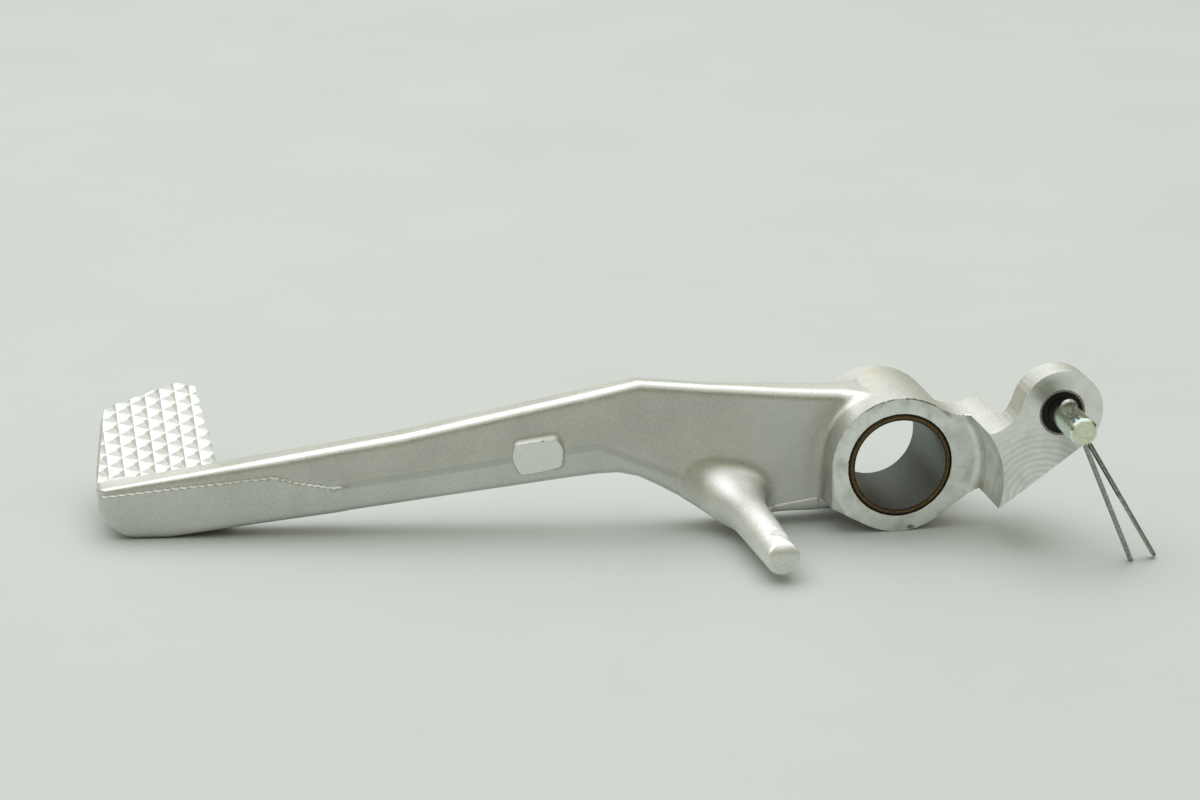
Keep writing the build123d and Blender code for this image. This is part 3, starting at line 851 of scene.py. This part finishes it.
# Clevis pin: a turned steel pin with a low head, zinc plated. The plating is bluish and bright on the shank,
# and mottled pale yellow-green on the cut end.
pin_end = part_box("clevis_pin")[0].y
cut_edge = (0.05 * mm, 0.12 * mm)
mottle_size = 1.0 * mm
zinc_depth = 0.03 * mm
zinc, tree, shader = new_finish("zinc_plate")
place = object_place(tree)
mottle = add_noise(tree, place, mottle_size, 4.0)
shank = add_tones(tree, mottle, 0.35, 0.65, [
    (0.0, (0.68, 0.79, 0.77)),
    (1.0, (0.80, 0.91, 0.89)),
])
cut = add_tones(tree, mottle, 0.38, 0.62, [
    (0.0, (0.58, 0.64, 0.44)),
    (0.5, (0.72, 0.76, 0.58)),
    (1.0, (0.80, 0.81, 0.64)),
])
along = add_node(tree, "ShaderNodeSeparateXYZ", {"Vector": place}).outputs["Y"]
is_cut = add_range(tree, along, pin_end + cut_edge[0], pin_end + cut_edge[1], 1.0, 0.0)
plated = add_mix(tree, is_cut, shank, cut)
link_finish(tree, shader, plated, add_range(tree, mottle, 0.3, 0.7, 0.10, 0.20))
add_bump(tree, shader, mottle, 0.06, zinc_depth)
give_finishes(frame["nodes"]["clevis_pin"], zinc)

# Split pin: half-round steel wire doubled on itself. Its eye stays at the top of the clevis pin's cross-hole,
# and its two straight legs are opened a little below until their tips meet the floor.
wire_radius = 0.9 * mm
eye_hole = 1.0 * mm
hole_half = 3.0 * mm
eye_height = 5.0 * mm
short_tip = Vector((-2.6, -32.0)) * mm
long_tip = Vector((1.6, -34.2)) * mm
short_bend = math.tan(math.radians(1.6))
pin_lean = math.radians(28.2)
eye_steps = 40
eye_mouth = math.radians(50)
throat = 3.3 * mm
profile_steps = 12
tip_bevel = 0.22 * mm
wire_crease = math.radians(35)
wire_speckle = 0.5 * mm
wire_depth = 0.05 * mm


def flat_curve(name, points, closed):
    """A flat curve through points."""
    curve = bpy.data.curves.new(name, "CURVE")
    curve.dimensions = "2D"
    line = curve.splines.new("POLY")
    line.points.add(len(points) - 1)
    for point, (across, up) in zip(line.points, points):
        point.co = (across, up, 0.0, 1.0)
    line.use_cyclic_u = closed
    return curve


half_round = []
for i in range(profile_steps + 1):
    turn = math.pi * i / profile_steps - math.pi / 2
    half_round.append((wire_radius * math.cos(turn), wire_radius * math.sin(turn)))
profile = new_piece("half_round_wire", flat_curve("half_round_wire", half_round, True))
path = [
    long_tip,
    (0.0, -hole_half),
    (0.0, throat),
]
for i in range(eye_steps + 1):
    turn = -math.pi / 2 + eye_mouth + (2 * math.pi - 2 * eye_mouth) * i / eye_steps
    path.append((eye_hole * math.cos(turn), eye_height + eye_hole * math.sin(turn)))
path += [
    (0.0, throat),
    (0.0, -hole_half),
    short_tip,
]
wire = new_piece("split_pin_path", flat_curve("split_pin_path", path, False))
wire.data.bevel_mode = "OBJECT"
wire.data.bevel_object = profile
wire.data.use_fill_caps = True
wire.data.fill_mode = "BOTH"
split_mesh = bmesh.new()
split_mesh.from_mesh(finished_mesh(wire))
bpy.data.objects.remove(wire)
bpy.data.objects.remove(profile)
bmesh.ops.remove_doubles(split_mesh, verts=split_mesh.verts, dist=merge_reach)
for vert in split_mesh.verts:
    if vert.co.x < 0 and vert.co.y < -hole_half:
        vert.co.z += (-hole_half - vert.co.y) * short_bend
bmesh.ops.recalc_face_normals(split_mesh, faces=split_mesh.faces)
tips = [e for e in split_mesh.edges if sum(len(f.verts) > 4 for f in e.link_faces) == 1]
bmesh.ops.bevel(split_mesh, geom=tips, offset=tip_bevel, affect="EDGES", segments=2, profile=0.5, material=-1)
lie = Matrix((
    (math.cos(pin_lean), -math.sin(pin_lean), 0.0),
    (0.0, 0.0, -1.0),
    (math.sin(pin_lean), math.cos(pin_lean), 0.0),
)).to_4x4()
bmesh.ops.transform(split_mesh, matrix=Matrix.Translation(cross_hole) @ lie, verts=split_mesh.verts)
split_data = bpy.data.meshes.new("split_pin_looks")
split_mesh.to_mesh(split_data)
split_mesh.free()
split_data.shade_smooth()
split_data.set_sharp_from_angle(angle=wire_crease)
split_pin = new_piece("split_pin_looks", split_data)
drawn, tree, shader = new_finish("drawn_wire")
place = object_place(tree)
speckle = add_noise(tree, place, wire_speckle, 3.0)
grey = add_tones(tree, speckle, 0.35, 0.68, [
    (0.0, (0.24, 0.24, 0.225)),
    (0.5, (0.38, 0.38, 0.36)),
    (1.0, (0.52, 0.52, 0.50)),
])
link_finish(tree, shader, grey, add_range(tree, speckle, 0.3, 0.7, 0.34, 0.50))
add_bump(tree, shader, speckle, 0.15, wire_depth)
give_finishes(split_pin, drawn)
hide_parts("split_pin")
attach(split_pin, "pin")

# Floor, light and camera: a pale matt sheet under a broad soft light from above and behind.
# The camera stands in front of the pedal, to the left and above, and looks down on it a little.
floor_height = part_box("pedal_lever")[0].z
floor_half = 6.0
floor_smudge = 70.0 * mm
floor_roughness = 0.6
floor_mesh = bmesh.new()
bmesh.ops.create_grid(floor_mesh, x_segments=1, y_segments=1, size=floor_half)
bmesh.ops.translate(floor_mesh, verts=floor_mesh.verts, vec=(0, 0, floor_height))
floor_data = bpy.data.meshes.new("floor")
floor_mesh.to_mesh(floor_data)
floor_mesh.free()
floor = new_piece("floor", floor_data)
sheet, tree, shader = new_finish("pale_sheet")
place = object_place(tree)
pale_grey = add_tones(tree, add_noise(tree, place, floor_smudge, 5.0), 0.3, 0.7, [
    (0.0, (0.495, 0.522, 0.503)),
    (1.0, (0.521, 0.546, 0.53)),
])
tree.links.new(pale_grey, shader.inputs["Base Color"])
shader.inputs["Metallic"].default_value = 0.0
shader.inputs["Roughness"].default_value = floor_roughness
give_finishes(floor, sheet)

towards_light = Vector((-0.09, 0.17, 0.98))
sky_strength = 1.36
world = bpy.data.worlds.new("studio")
bpy.context.scene.world = world
world.use_nodes = True
tree = world.node_tree
direction = tree.nodes.new("ShaderNodeTexCoord").outputs["Generated"]
facing = {0: direction, 1: towards_light}
height = add_node(tree, "ShaderNodeVectorMath", facing, operation="DOT_PRODUCT").outputs["Value"]
sky = add_ramp(tree, height, [
    (0.0, (0.08, 0.072, 0.015)),
    (0.32, (0.20, 0.19, 0.10)),
    (0.56, (0.66, 0.67, 0.61)),
    (1.0, (0.82, 0.87, 0.87)),
])
tree.links.new(sky, tree.nodes["Background"].inputs["Color"])
tree.nodes["Background"].inputs["Strength"].default_value = sky_strength

lamp_aim = Vector((-0.06, 0.0, 0.0))
softbox = bpy.data.lights.new("softbox", "AREA")
softbox.shape = "RECTANGLE"
softbox.size = 1.8
softbox.size_y = 1.2
softbox.energy = 11.0
lamp = new_piece("softbox", softbox)
lamp.location = (-0.25, 0.45, 1.30)
lamp.rotation_euler = (lamp_aim - lamp.location).to_track_quat("-Z", "Y").to_euler()

camera_dip = math.radians(17.2)
camera_turn = math.radians(-10.475)
view = bpy.data.cameras.new("camera")
view.sensor_width = 36.0
view.lens = 93.0
view.clip_start = 0.01
camera = new_piece("camera", view)
camera.location = (-0.17808, -0.62145, 0.2100)
camera.rotation_euler = (math.radians(90) - camera_dip, 0.0, camera_turn)
bpy.context.scene.camera = camera
bpy.context.scene.view_settings.view_transform = "Standard"
